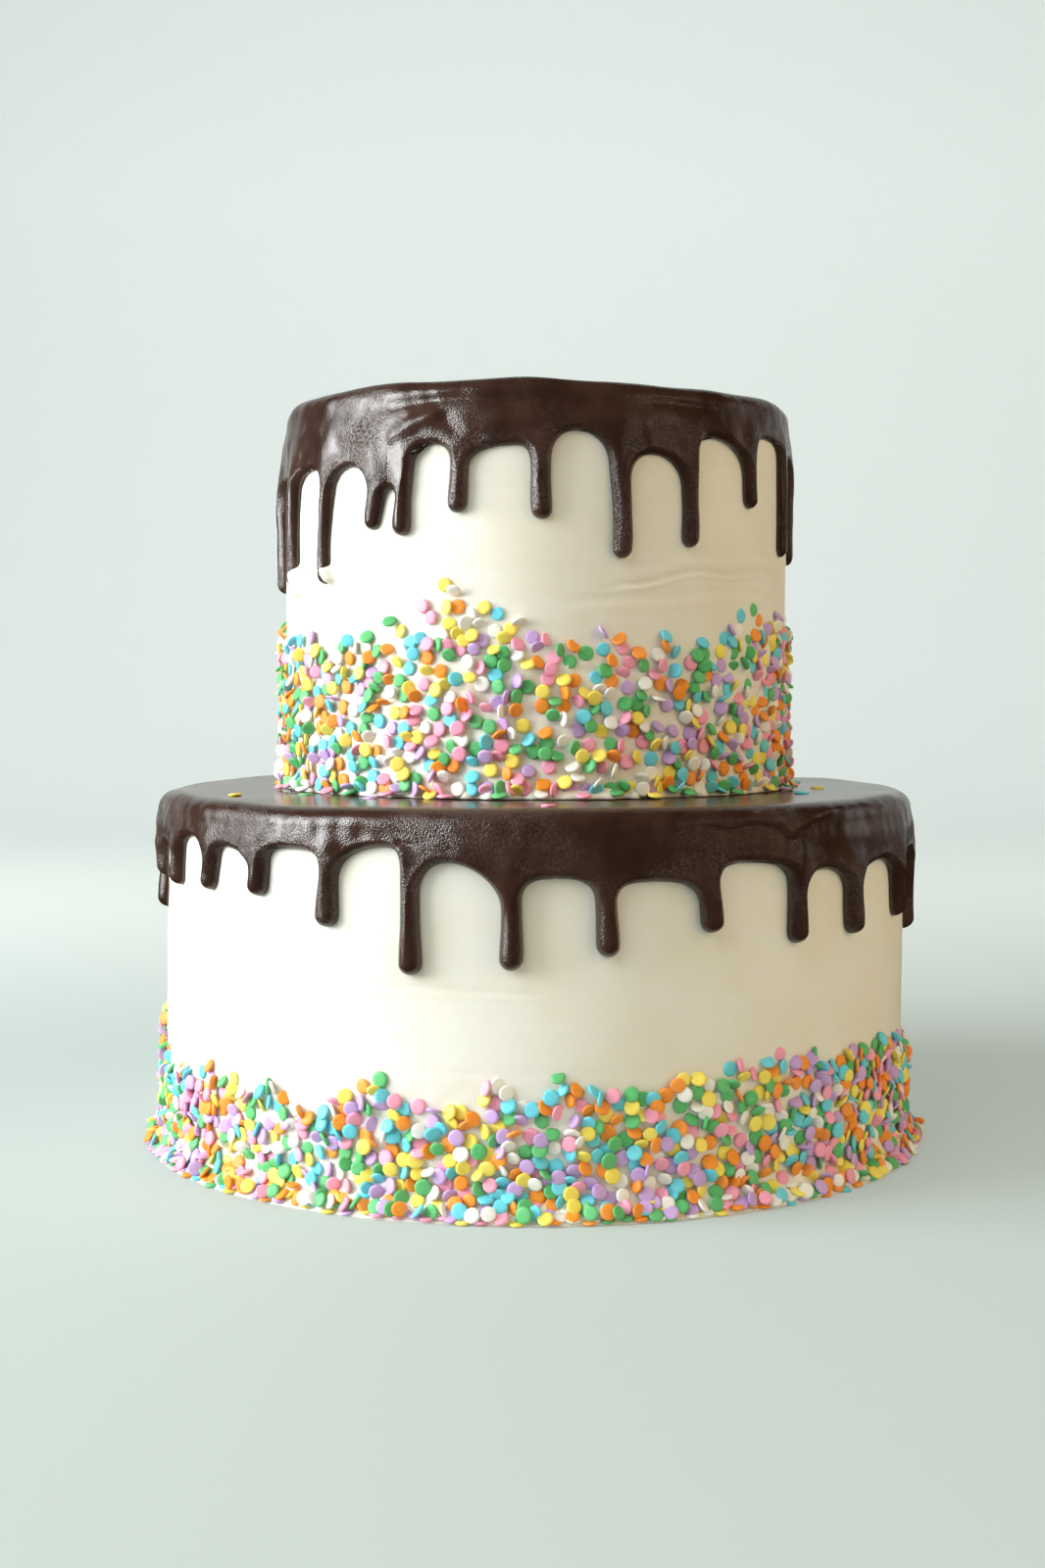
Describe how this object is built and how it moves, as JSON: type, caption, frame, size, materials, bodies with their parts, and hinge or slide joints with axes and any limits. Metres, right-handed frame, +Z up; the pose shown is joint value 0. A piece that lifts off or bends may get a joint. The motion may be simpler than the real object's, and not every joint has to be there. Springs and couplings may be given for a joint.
{
  "type": "layer cake",
  "caption": "Two-tier round celebration cake in smooth buttercream, with chocolate ganache drips over both tiers and bands of round confetti at their feet.",
  "frame": {"origin": "centre of the lower tier's underside, on the surface that the cake stands on", "axes": "+Z up along the axis of both tiers; -Y is the side that the picture shows, and +X is that side's right hand"},
  "size_m": [0.2512, 0.2512, 0.2366],
  "materials": {
    "buttercream": "smooth, satin, warm white",
    "ganache": "set dark chocolate, satin",
    "confetti": "pressed sugar discs in seven colours, matte"
  },
  "bodies": {
    "root": {"lower_tier": "buttercream", "upper_tier": "buttercream", "lower_ganache": "ganache", "upper_ganache": "ganache"}
  },
  "joints": []
}
